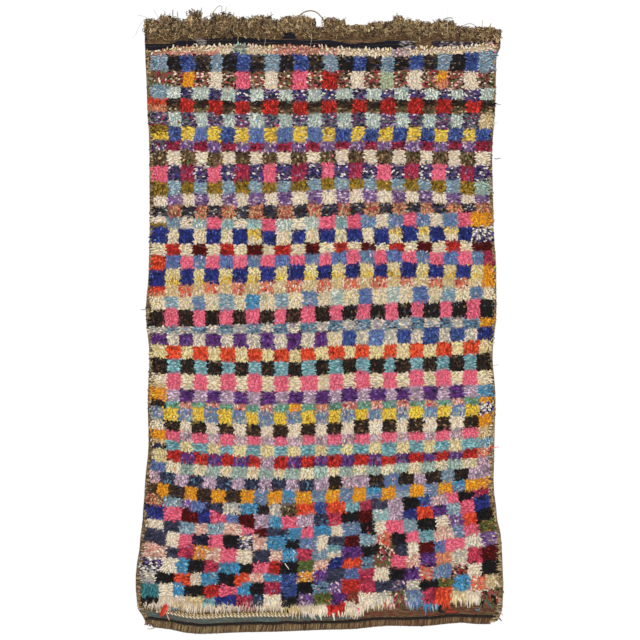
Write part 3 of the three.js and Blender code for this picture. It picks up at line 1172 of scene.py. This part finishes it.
def overcast_closed_end(rng):
    """Short turns of the same wools, side by side over the very end."""
    x = np.arange(-0.607, 0.62, 2.9 * MM)
    x = x + rng.normal(0, 0.6 * MM, len(x))
    t = np.array([[0.0, 0.5, 1.0]])
    slant = rng.normal(4, 2.5, len(x))[:, None] * MM
    # The two corners are rounded.
    foot = (rng.normal(1.5, 1.3, len(x)) * MM + 0.4 * (np.abs(x) - 0.592).clip(0))[:, None]
    y = closed_end(x)[:, None] + foot + (25 * MM - foot) * t
    z = np.array([[3.0, 5.6, 4.2]]) * MM + rng.normal(0, 0.35 * MM, y.shape)
    x = x[:, None] + 0 * t
    paths = np.stack([x + slant * (t - 0.5), y, z], 2)
    draw = rng.random((len(x), 1, 1))
    straw = np.where(x[..., None] < 50 * MM, dye("straw"), dye("khaki") * 1.3)
    shade = np.select([draw < 0.4, draw < 0.75], [dye("khaki"), dye("brown") * 1.2], straw)
    shade = np.where((x > 100 * MM)[..., None] & (draw > 0.86), rusty(), shade)
    radii = 1.8 * MM * rng.normal(1, 0.15, (len(x), 1)) + 0 * t
    # Brown wool, hard-wearing and dull, in short fat turns.
    material = spun_yarn("overcast_wool_end", 0.9, 0.06, 6 * MM, 0.14, 0.3 * MM)
    piece = yarn_piece("overcast_end", paths, radii, mottled(rng, shade, 0.14, 0.2), material)


def weave_skirts():
    """The flat weave at both ends, with the closed end's overcasting and twined lines."""
    rng = np.random.default_rng(sizes().seed + 2)
    weave_frayed_end(rng)
    weave_closed_end(rng)
    overcast_closed_end(rng)
    for line in TWINED_LINES:
        add_twining(rng, *line)


def add_wefts(name, paths, tints):
    """Shots of beaten weft as one piece."""
    radii = np.full(paths.shape[:2], 0.62 * sizes().weft_pitch)
    # Wool beaten down hard: close, flat and dull.
    material = spun_yarn(name.replace("weft", "beaten_wool"), 0.9, 0.06, 6 * MM, 0.14, 0.3 * MM)
    piece = yarn_piece(name, paths, radii, tints, material, flatten=0.8)


def add_twining(rng, name, offset, span, swing, yarns):
    """Two yarns twisted round each other along the closed end."""
    points = int((span[1] - span[0]) / (2.6 * MM))
    x = np.linspace(span[0], span[1], points)[None]
    phase = math.tau * x / (13 * MM) + np.array([[0.0], [math.pi]])
    rises = np.interp(x, [-0.3, 0.05], [5 * MM, 0])  # on the left it sits further from the end
    level = closed_end(x) + offset + rises + wander(rng, points, 1.0 * MM, 20)[None]
    y = level + swing * np.cos(phase)
    z = WEAVE_HEIGHT + swing * (0.9 + 0.55 * np.sin(phase))
    paths = np.stack([np.broadcast_to(x, y.shape), y, z], 2)
    tints = evenly_dyed(numbers(yarns), points)
    # Hard-twisted wool cord: dull, with its turns clear to see.
    material = spun_yarn(f"twined_wool_{name}", 0.85, 0.06, 5 * MM, 0.12, 0.3 * MM)
    radii = np.full(paths.shape[:2], 0.75 * swing)
    piece = yarn_piece(name, paths, radii, mottled(rng, tints, 0.02, 0.1), material)


class RUG_OT_weave_skirts(bpy.types.Operator):
    """Weave the striped flat weave at both ends"""

    bl_idname = "rug.weave_skirts"
    bl_label = "Weave skirts"

    def execute(self, context):
        weave_skirts()
        return {"FINISHED"}


# --- Selvedges ---

FUZZ = 300  # loose fibre ends on each metre of a selvedge
SELVEDGE_STOPS = (72 * MM, 4 * MM)  # how far below the frayed end the turns stop: left, right
SELVEDGE_YARNS = "khaki straw brown tan dark_brown grey"
SELVEDGE_SHARES = ((0.36, 0.22, 0.2, 0.12, 0.06, 0.04), (0.26, 0.32, 0.1, 0.26, 0.02, 0.04))  # left, right


def selvedge_turns(rng, edge, side, inward, y):
    """Turns of wool round one long edge: paths and radii."""
    s = sizes()
    t = np.array([[0.0, 0.4, 0.8, 1.0]])
    width = (selvedge_widths(y)[side] + 3 * MM) * rng.normal(1, 0.06, len(y))
    rim = edge(y) + inward * (2.4 * MM + rng.normal(0, 0.8 * MM, len(y)))
    x = rim[:, None] + inward * width[:, None] * (1 - t)
    slant = rng.normal(0.6, 0.9, len(y))[:, None] * s.wrap_pitch
    level = y[:, None] + slant * (t - 0.5) + rng.normal(0, 0.6 * MM, x.shape)
    z = np.array([[6.5, 6.2, 4.6, 2.8]]) * MM + rng.normal(0, 0.3 * MM, x.shape)
    radii = 0.6 * s.wrap_pitch * rng.normal(1, 0.12, (len(y), 1)) * np.ones((1, 4))
    return np.stack([x, level, z], 2), radii


def selvedge_fuzz(rng, edge, side, inward, lowest, highest):
    """Worn fibre ends, matted over the turns in every direction: paths and radii."""
    count = int(FUZZ * RUG_LENGTH)
    root = rng.uniform(lowest, highest, count)
    across = rng.uniform(-0.05, 1, count) * selvedge_widths(root)[side]
    start = np.stack([edge(root) + inward * (2 * MM + across), root], 1)
    flat = curl(rng, start, rng.uniform(0, math.tau, count), rng.uniform(7, 15, count) * MM, 4, 0.6)
    rim = edge(flat[..., 1])
    within = (inward * (flat[..., 0] - rim)).clip(rng.uniform(-1.5, 3, (count, 1)) * MM)
    z = np.interp(within, [0, 6 * MM], [3.5 * MM, 7.5 * MM]) + rng.uniform(-1, 1, (count, 1)) * MM
    radii = rng.uniform(1.3, 2.0, (count, 1)) * MM * np.ones((1, 4))
    return np.stack([rim + inward * within, flat[..., 1], z], 2), radii


def wrap_selvedges():
    """The two long edges, each wrapped round with brown and straw wool and felted by wear."""
    rng = np.random.default_rng(sizes().seed + 3)
    parts, drawn = [], []
    for edge, side, inward in ((left_edge, 0, 1), (right_edge, 1, -1)):
        corner = -CORNER * inward
        top = frayed_end(corner) - SELVEDGE_STOPS[side]
        y = np.arange(closed_end(corner) + 10 * MM, top, sizes().wrap_pitch)
        parts.append(selvedge_turns(rng, edge, side, inward, y))
        parts.append(selvedge_fuzz(rng, edge, side, inward, y[0] + 10 * MM, y[-1]))
        count = len(parts[-2][0]) + len(parts[-1][0])
        drawn.append(picked(rng.random(count), SELVEDGE_SHARES[side]))
    paths, radii = (np.concatenate(kind) for kind in zip(*parts))
    tints = evenly_dyed(numbers(SELVEDGE_YARNS)[np.concatenate(drawn)], 4)
    # Brown and straw wool wound by hand over the outer warps: dull, and felted by wear.
    material = spun_yarn("wound_selvedge_wool", 0.9, 0.06, 6 * MM, 0.16, 0.4 * MM)
    piece = yarn_piece("selvedge_wraps", paths, radii, mottled(rng, tints, 0.08, 0.08), material)


class RUG_OT_wrap_selvedges(bpy.types.Operator):
    """Wrap both long edges with wool"""

    bl_idname = "rug.wrap_selvedges"
    bl_label = "Wrap selvedges"

    def execute(self, context):
        wrap_selvedges()
        return {"FINISHED"}


# --- Fringe ---

FRINGE_YARNS = "khaki straw brown dark_olive dark_brown tan"
FRINGE_SHARES = (0.32, 0.25, 0.2, 0.06, 0.12, 0.05)
FRINGE_POINTS = 6  # along each warp end


def loose_curls(rng):
    """Curled warp ends in uneven bunches past the woven edge: paths and radii."""
    count = sizes().fringe_yarns
    weight = (BUNCHES[:, 1] - BUNCHES[:, 0]) * BUNCHES[:, 2].clip(14 * MM)
    home = BUNCHES[rng.choice(len(BUNCHES), count, p=weight / weight.sum())]
    share = rng.random(count)
    x = home[:, 0] + share * (home[:, 1] - home[:, 0])
    past = home[:, 2] + share * (home[:, 3] - home[:, 2])
    edge = frayed_end(x)
    starts = np.stack([x, edge + rng.uniform(-14 * MM, (past - 10 * MM).clip(-2 * MM))], 1)
    headings = rng.normal(math.radians(90), math.radians(75), count)
    flat = curl(rng, starts, headings, rng.uniform(16, 34, count) * MM, FRINGE_POINTS, 1.5)
    # Curls that would stray past the bunch, or into the notches beside it, are tucked in.
    ragged = past * rng.uniform(0.86, 1.06, count)
    flat[..., 1] = np.minimum(flat[..., 1], (edge + ragged)[:, None])
    play = rng.uniform(0, 7, (count, 1)) * MM
    flat[..., 0] = np.clip(flat[..., 0], home[:, :1] - play, home[:, 1:2] + play)
    # The bunches beside the middle notch lean over to the left.
    beyond = flat[..., 1] - edge[:, None]
    flat[..., 0] -= 0.6 * np.exp(-((x / 0.07) ** 2))[:, None] * beyond
    outside = np.clip(beyond / (12 * MM), 0, 1)
    t = np.linspace(0, 1, FRINGE_POINTS)[None]
    layer = rng.uniform(0.0, 5.0, count)[:, None] * MM
    wave = 1.2 * MM * np.sin(math.tau * (1.2 * t + share[:, None]))
    z = 4.4 * MM + layer - 2.2 * MM * outside + wave
    radii = rng.uniform(1.05, 1.75, count)[:, None] * MM * np.interp(t, [0, 0.7, 1], [1, 1, 0.7])
    return np.concatenate([flat, z.clip(2.2 * MM)[..., None]], 2), radii


def matted_bed(rng):
    """The ends that lie straight and matted together under the curls: paths and radii."""
    x = np.arange(-0.61, 0.634, 4.5 * MM)
    within = (x[:, None] > BUNCHES[:, 0]) & (x[:, None] < BUNCHES[:, 1])
    x, home = x[within.any(1)], BUNCHES[within.argmax(1)][within.any(1)]
    share = (x - home[:, 0]) / (home[:, 1] - home[:, 0])
    reach = (home[:, 2] + share * (home[:, 3] - home[:, 2])) * rng.uniform(0.72, 0.9, len(x))
    root = 12 * MM
    t = np.linspace(0, 1, FRINGE_POINTS)[None]
    y = frayed_end(x)[:, None] - root + (reach + root)[:, None] * t
    sway = x[:, None] + rng.normal(0, 1.2 * MM, y.shape)
    radii = rng.uniform(3.4, 4.2, (len(x), 1)) * MM * np.interp(t, [0, 0.85, 1], [1, 1, 0.5])
    return np.stack([sway, y, np.full(y.shape, 3.0 * MM)], 2), radii


def matted_curls(rng):
    """Shorter curls matted over the woven edge: paths and radii."""
    count = sizes().fringe_yarns // 2
    x = rng.uniform(-0.606, 0.622, count)
    notch = ((x > -20 * MM) & (x < 16 * MM)) | ((x > 88 * MM) & (x < 170 * MM))
    depth = np.where(notch, rng.uniform(6, 20, count), rng.uniform(-10, 30, count)) * MM
    depth = np.where((x > -128 * MM) & (x < -84 * MM), 0.2 * depth, depth)
    starts = np.stack([x, frayed_end(x) - depth], 1)
    headings = rng.uniform(0, math.tau, count)
    flat = curl(rng, starts, headings, rng.uniform(14, 28, count) * MM, FRINGE_POINTS, 1.5)
    over = flat[..., 1] < frayed_end(x)[:, None]
    z = rng.uniform(3.0, 7.5, count)[:, None] * MM + 1.6 * MM * over
    radii = rng.uniform(1.05, 1.7, (count, 1)) * MM * np.ones((1, FRINGE_POINTS))
    return np.concatenate([flat, z[..., None]], 2), radii


def tie_fringe():
    """The frayed end: a mat of curled warp ends past the woven edge."""
    rng = np.random.default_rng(sizes().seed + 4)
    curls, bed = loose_curls(rng), matted_bed(rng)
    paths, radii = (np.concatenate(pair) for pair in zip(curls, bed))
    piece = fringe_piece(rng, "fringe_ends", paths, radii)
    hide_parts("warp_fringe")
    fringe_piece(rng, "fringe_mat", *matted_curls(rng))


def fringe_piece(rng, name, paths, radii):
    """One piece of hard-twisted, sun-dulled brown and straw warp ends."""
    drawn = picked(rng.random(len(paths)), FRINGE_SHARES)
    tints = evenly_dyed(numbers(FRINGE_YARNS)[drawn], paths.shape[1])
    tints = tints * np.interp(paths[..., :1], [-0.25, -0.1], [1.06, 1.32])  # bleached on the right
    # Undyed wool and goat hair: wiry, and a little less dull than the pile.
    material = spun_yarn(f"hard_twisted_{name}", 0.82, 0.05, 4 * MM, 0.18, 0.35 * MM)
    piece = yarn_piece(name, paths, radii, mottled(rng, tints, 0.34, 0.2), material)
    return piece


class RUG_OT_tie_fringe(bpy.types.Operator):
    """Lay out the frayed warp ends"""

    bl_idname = "rug.tie_fringe"
    bl_label = "Tie fringe"

    def execute(self, context):
        tie_fringe()
        return {"FINISHED"}


# --- Stray yarns ---

# Single ends that have come loose: a yarn, its thickness, a height, and places along it.
STRAYS = (
    ("grey", 1.6, 5, (-604, 1052), (-621, 1050), (-632, 1034), (-640, 1013), (-652, 996)),
    ("straw", 1.6, 5, (-590, 1058), (-604, 1066), (-620, 1072), (-638, 1076)),
    ("grey", 1.4, 5, (-556, 1048), (-562, 1064), (-572, 1080), (-579, 1097)),
    ("khaki", 3.2, 5, (-541, 1045), (-541, 1060), (-540, 1074), (-542, 1090)),
    ("brown", 3.0, 5, (-513, 1045), (-512, 1062), (-513, 1080), (-512, 1095)),
    ("khaki", 2.6, 5, (-494, 1045), (-495, 1060), (-496, 1074), (-498, 1088)),
    ("grey", 1.4, 6, (-440, 1068), (-452, 1076), (-464, 1082), (-476, 1088)),
    ("straw", 1.4, 6, (-438, 1074), (-448, 1080), (-458, 1086), (-470, 1091)),
    ("straw", 1.6, 5, (-425, 1052), (-404, 1066), (-386, 1072), (-370, 1076)),
    ("khaki", 2.2, 6, (-376, 1060), (-370, 1084), (-357, 1104), (-344, 1110), (-342, 1094), (-352, 1070)),
    ("tan", 2.4, 5, (-334, 1055), (-330, 1078), (-327, 1096), (-326, 1106)),
    ("khaki", 5.0, 7, (-84, 1050), (-72, 1070), (-51, 1088), (-24, 1090), (-6, 1078), (16, 1052)),
    ("brown", 1.8, 5, (-180, 1050), (-180, 1062), (-181, 1072), (-180, 1082)),
    ("brown", 2.0, 5, (-169, 1050), (-170, 1066), (-169, 1078), (-170, 1088)),
    ("straw", 2.4, 5, (66, 1040), (78, 1052), (88, 1062), (95, 1068)),
    ("straw", 3.4, 6, (274, 1036), (276, 1052), (273, 1066), (270, 1080)),
    ("dark_brown", 3.0, 7, (432, 1058), (446, 1064), (458, 1065), (466, 1063)),
    ("cream", 1.4, 7, (448, 1006), (447, 1036), (447, 1066), (447, 1093)),
    ("straw", 2.2, 6, (500, 1036), (514, 1043), (532, 1044), (552, 1031)),
    ("tan", 3.0, 5, (570, 1022), (569, 1036), (569, 1048), (571, 1058)),
    ("straw", 2.6, 5, (596, 1018), (598, 1030), (598, 1040), (600, 1048)),
    ("grey", 1.5, 9, (-191, 1000), (-189, 985), (-192, 970), (-190, 955)),
    ("grey", 1.5, 9, (-30, 1010), (-28, 990), (-31, 970), (-29, 952)),
    ("black", 2.0, 5, (-588, 42), (-604, 44), (-618, 45), (-626, 44)),
    ("brick", 2.4, 5, (612, 762), (622, 764), (629, 762), (634, 764)),
    ("cream", 2.2, 5, (604, 700), (612, 697), (619, 699), (624, 697)),
    ("navy", 2.4, 5, (612, 574), (621, 572), (628, 574), (634, 573)),
    ("tan", 2.4, 5, (606, -148), (615, -150), (622, -148), (628, -149)),
    ("pink", 2.4, 5, (606, -434), (615, -437), (622, -435), (628, -437)),
    ("brick", 2.6, 5, (-612, -924), (-623, -928), (-632, -926), (-641, -929)),
    ("red", 7.0, 17, (-534, -984), (-540, -996), (-547, -1010), (-556, -1027)),
    ("red", 6.5, 16, (-541, -986), (-547, -1000), (-553, -1012), (-558, -1020)),
    ("vermilion", 6.5, 17, (-529, -988), (-534, -1000), (-541, -1014), (-548, -1024)),
    ("steel", 4.0, 15, (-520, -996), (-511, -1000), (-500, -1000), (-488, -996)),
    ("slate", 4.0, 15, (-518, -1004), (-508, -1007), (-498, -1006), (-490, -1004)),
    ("pale_pink", 3.6, 13, (-536, -1010), (-533, -1020), (-529, -1030), (-524, -1041)),
    ("black", 6.5, 13, (420, -986), (424, -996), (418, -1006), (428, -1014)),
    ("black", 6.0, 12, (430, -990), (416, -998), (426, -1008), (440, -1012)),
    ("red", 5.0, 9, (440, -1014), (452, -1009), (466, -1012), (482, -1008)),
    ("bright_blue", 3.4, 12, (370, -972), (369, -990), (371, -1008), (369, -1024)),
    ("teal", 3.4, 13, (575, -972), (586, -980), (596, -988), (604, -996)),
    ("moss", 3.4, 13, (583, -968), (594, -976), (602, -985), (610, -993)),
    ("steel", 4.4, 8, (544, -1002), (550, -1005), (556, -1004), (561, -1000)),
    ("white", 3.6, 20, (-121, -840), (-117, -846), (-112, -853), (-106, -862)),
    ("black", 4.0, 4, (612, -1024), (622, -1028), (630, -1036), (638, -1044)),
    ("red", 3.2, 5, (624, -1012), (631, -1014), (637, -1018), (641, -1024)),
    ("straw", 2.4, 4, (-572, -1066), (-584, -1070), (-594, -1072), (-602, -1070)),
)


def smooth_path(places, points):
    """Evenly counted points on a curve past a few places in the plane."""
    fit = np.polyfit(np.linspace(0, 1, len(places)), np.array(places, float), 3)
    wanted = np.linspace(0, 1, points)
    return np.stack([np.polyval(fit[:, 0], wanted), np.polyval(fit[:, 1], wanted)], 1)


def lay_strays():
    """Single yarns that have come loose round the edges."""
    rng = np.random.default_rng(sizes().seed + 5)
    points = 10
    flat = np.array([smooth_path(stray[3:], points) for stray in STRAYS]) * MM
    thick, height = np.array([stray[1:3] for stray in STRAYS]).T[..., None] * MM
    t = np.linspace(0, 1, points)[None]
    z = height + 0.8 * MM * np.sin(math.pi * t)
    paths = np.concatenate([flat, z[..., None]], 2)
    radii = 0.5 * thick * np.interp(t, [0, 0.8, 1], [1, 0.95, 0.6])
    tints = evenly_dyed(numbers(" ".join(stray[0] for stray in STRAYS)), points)
    # Single ends of the same wools, dull and hazy as they untwist.
    material = spun_yarn("loose_wool_ends", 0.88, 0.06, 5 * MM, 0.14, 0.35 * MM)
    piece = yarn_piece("loose_ends", paths, radii, mottled(rng, tints, 0.05, 0.08), material, sides=4)


class RUG_OT_lay_strays(bpy.types.Operator):
    """Lay out the single yarns that have come loose"""

    bl_idname = "rug.lay_strays"
    bl_label = "Lay loose ends"

    def execute(self, context):
        lay_strays()
        return {"FINISHED"}


# --- Stage ---

VIEW_WIDTH = 2.24  # metres of floor across the view
VIEW_CENTRE = (1.75 * MM, 8.75 * MM)
CAMERA_LENS, CAMERA_SENSOR = 100, 36  # in millimetres
SKY_LEVEL = 0.62  # how strongly the sky lights the rug
PAPER_GLOW = 0.75  # how much of the floor's look is its own white, for the camera
# The lights: name, place, side and power in watts.
SOFTBOXES = (
    ("softbox_left", (-1.5, 1.2, 3.6), 2.8, 72),
    ("softbox_right", (1.6, -0.9, 3.4), 2.8, 47.5),
)


def seen_rays(tree):
    """1 for the rays that show a surface to the camera, straight, mirrored or through glass, else 0."""
    ray = node(tree, "ShaderNodeLightPath").outputs
    seen = ray["Is Camera Ray"]
    for kind in ("Is Glossy Ray", "Is Transmission Ray"):
        seen = node(tree, "ShaderNodeMath", {0: seen, 1: ray[kind]}, operation="MAXIMUM").outputs[0]
    return seen


def white_floor():
    """Matt white paper. It takes the rug's shadow, and is a little brighter to the camera."""
    material = bpy.data.materials.new("matt_white_paper_floor")
    material.use_nodes = True
    tree = material.node_tree
    tree.nodes.remove(tree.nodes["Principled BSDF"])
    paper = node(tree, "ShaderNodeBsdfDiffuse", {"Color": (0.93, 0.93, 0.93, 1)})
    white = node(tree, "ShaderNodeEmission", {"Color": (1, 1, 1, 1), "Strength": 1.03})
    share = node(tree, "ShaderNodeMath", {0: seen_rays(tree), 1: PAPER_GLOW}, operation="MULTIPLY")
    mix = node(tree, "ShaderNodeMixShader", {0: share.outputs[0], 1: paper.outputs[0], 2: white.outputs[0]})
    tree.links.new(mix.outputs[0], tree.nodes["Material Output"].inputs["Surface"])
    return material


def lay_floor():
    """A white floor that takes the rug's shadow."""
    mesh = bpy.data.meshes.new("floor")
    body = bmesh.new()
    bmesh.ops.create_grid(body, x_segments=1, y_segments=1, size=12)
    body.to_mesh(mesh)
    body.free()
    mesh.materials.append(white_floor())
    floor = bpy.data.objects.new("floor", mesh)
    bpy.context.scene.collection.objects.link(floor)


def hang_softbox(name, place, side, power):
    """A square softbox that faces the middle of the rug."""
    data = bpy.data.lights.new(name, "AREA")
    data.shape = "SQUARE"
    data.size = side
    data.energy = power
    light = bpy.data.objects.new(name, data)
    light.location = place
    light.rotation_mode = "QUATERNION"
    light.rotation_quaternion = (-Vector(place)).to_track_quat("-Z", "Y")
    bpy.context.scene.collection.objects.link(light)


def light_sky():
    """A sky that is white to the camera, and lights the rug at a lower level."""
    world = bpy.data.worlds.new("studio")
    bpy.context.scene.world = world
    world.use_nodes = True
    tree = world.node_tree
    background = tree.nodes["Background"]
    background.inputs["Color"].default_value = (1, 1, 1, 1)
    level = node(tree, "ShaderNodeMath", {0: seen_rays(tree), 1: SKY_LEVEL}, operation="MAXIMUM")
    tree.links.new(level.outputs[0], background.inputs["Strength"])


def place_camera():
    """A camera straight above the rug."""
    data = bpy.data.cameras.new("camera")
    data.sensor_width = CAMERA_SENSOR
    data.lens = CAMERA_LENS
    camera = bpy.data.objects.new("camera", data)
    camera.location = (*VIEW_CENTRE, VIEW_WIDTH * CAMERA_LENS / CAMERA_SENSOR)
    bpy.context.scene.collection.objects.link(camera)
    bpy.context.scene.camera = camera


def set_stage():
    """A white floor, soft even light and a camera straight above."""
    bpy.context.scene.view_settings.view_transform = "Standard"
    lay_floor()
    for softbox in SOFTBOXES:
        hang_softbox(*softbox)
    light_sky()
    place_camera()


class RUG_OT_set_stage(bpy.types.Operator):
    """Set up the floor, the lights and the camera"""

    bl_idname = "rug.set_stage"
    bl_label = "Set stage"

    def execute(self, context):
        set_stage()
        return {"FINISHED"}


# --- Panel and registration ---

OPERATORS = (
    RUG_OT_weave_ground,
    RUG_OT_knot_pile,
    RUG_OT_weave_skirts,
    RUG_OT_wrap_selvedges,
    RUG_OT_tie_fringe,
    RUG_OT_lay_strays,
    RUG_OT_set_stage,
)


class RUG_PT_panel(bpy.types.Panel):
    """The rug's steps, sizes and dyes"""

    bl_idname = "RUG_PT_panel"
    bl_label = "Checked pile rug"
    bl_space_type = "VIEW_3D"
    bl_region_type = "UI"
    bl_category = "Rug"

    def draw(self, context):
        layout = self.layout
        for operator in OPERATORS:
            layout.operator(operator.bl_idname)
        for group in (context.scene.rug_sizes, context.scene.rug_dyes):
            box = layout.box()
            for name in group.__annotations__:
                box.prop(group, name)


CLASSES = (RugSizes, RugDyes) + OPERATORS + (RUG_PT_panel,)


def register():
    """Adds the classes, and the sizes and dyes to the scene."""
    for cls in CLASSES:
        bpy.utils.register_class(cls)
    bpy.types.Scene.rug_sizes = bpy.props.PointerProperty(type=RugSizes)
    bpy.types.Scene.rug_dyes = bpy.props.PointerProperty(type=RugDyes)


def unregister():
    """Takes them away again."""
    del bpy.types.Scene.rug_dyes
    del bpy.types.Scene.rug_sizes
    for cls in reversed(CLASSES):
        bpy.utils.unregister_class(cls)


def main():
    """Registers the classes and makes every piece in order."""
    register()
    bpy.ops.rug.weave_ground()
    bpy.ops.rug.knot_pile()
    bpy.ops.rug.weave_skirts()
    bpy.ops.rug.wrap_selvedges()
    bpy.ops.rug.tie_fringe()
    bpy.ops.rug.lay_strays()
    bpy.ops.rug.set_stage()


if __name__ == "__main__":
    main()
